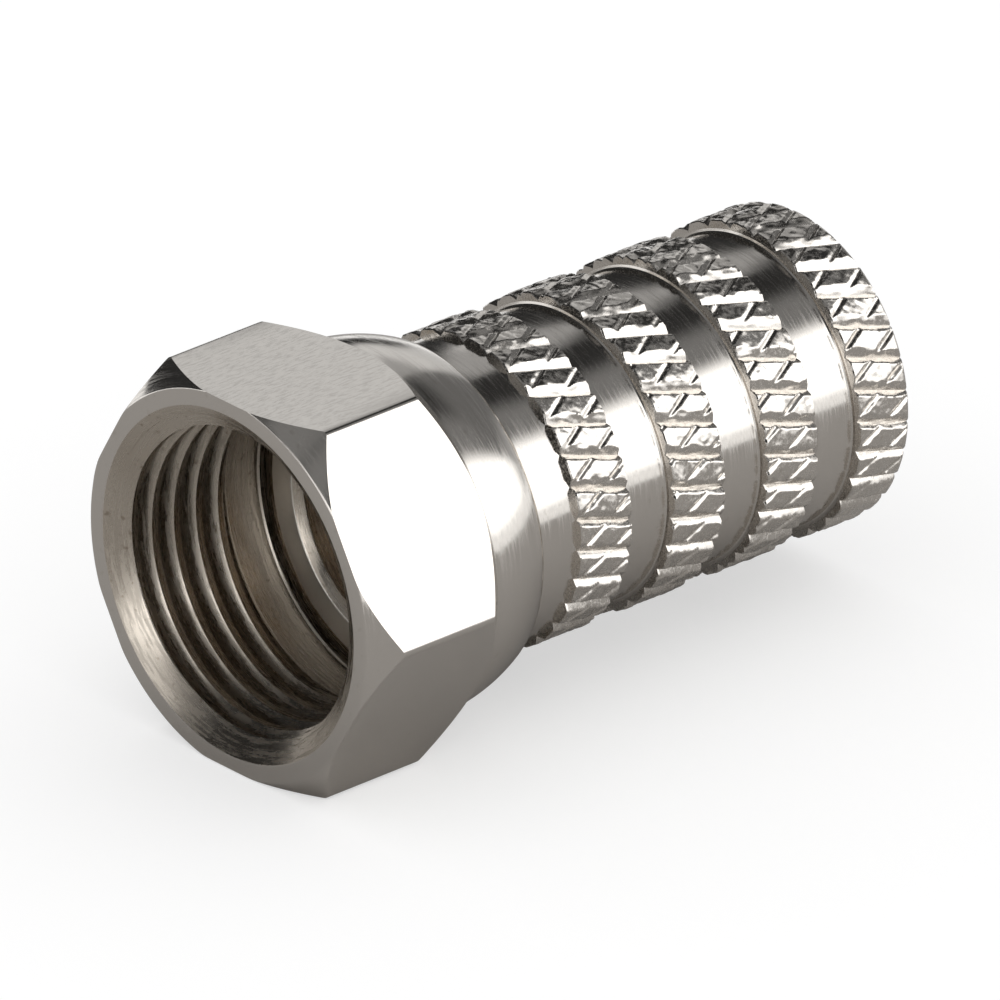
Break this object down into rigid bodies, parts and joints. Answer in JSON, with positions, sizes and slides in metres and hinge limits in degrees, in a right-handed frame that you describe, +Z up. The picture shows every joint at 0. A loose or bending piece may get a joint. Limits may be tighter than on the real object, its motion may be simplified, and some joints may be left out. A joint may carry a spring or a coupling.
{
  "type": "screw-on f plug",
  "caption": "Screw-on coaxial F plug: a hexagonal coupling nut with a rounded shoulder that spins on a hollow sleeve with knurled bands.",
  "frame": {"origin": "on the axis, where the wall of the coupling thread begins, just inside the nut's mouth", "axes": "+X along the axis from the mouth to the cable entry, +Z up with a flat of the hexagon facing down, +Y across"},
  "size_m": [0.0208, 0.0128, 0.011],
  "materials": {
    "nut_plating": "bright nickel plate, brushed on the flats and polished on the shoulder",
    "sleeve_plating": "bright nickel plate over turned and knurled metal"
  },
  "bodies": {
    "sleeve": {"sleeve": "sleeve_plating"},
    "nut": {"coupling_nut": "nut_plating"}
  },
  "joints": [
    {"name": "nut_spin", "type": "hinge", "parent": "sleeve", "child": "nut", "pos_m": [0.0064, 0, 0], "axis": [1, 0, 0], "continuous": true}
  ]
}
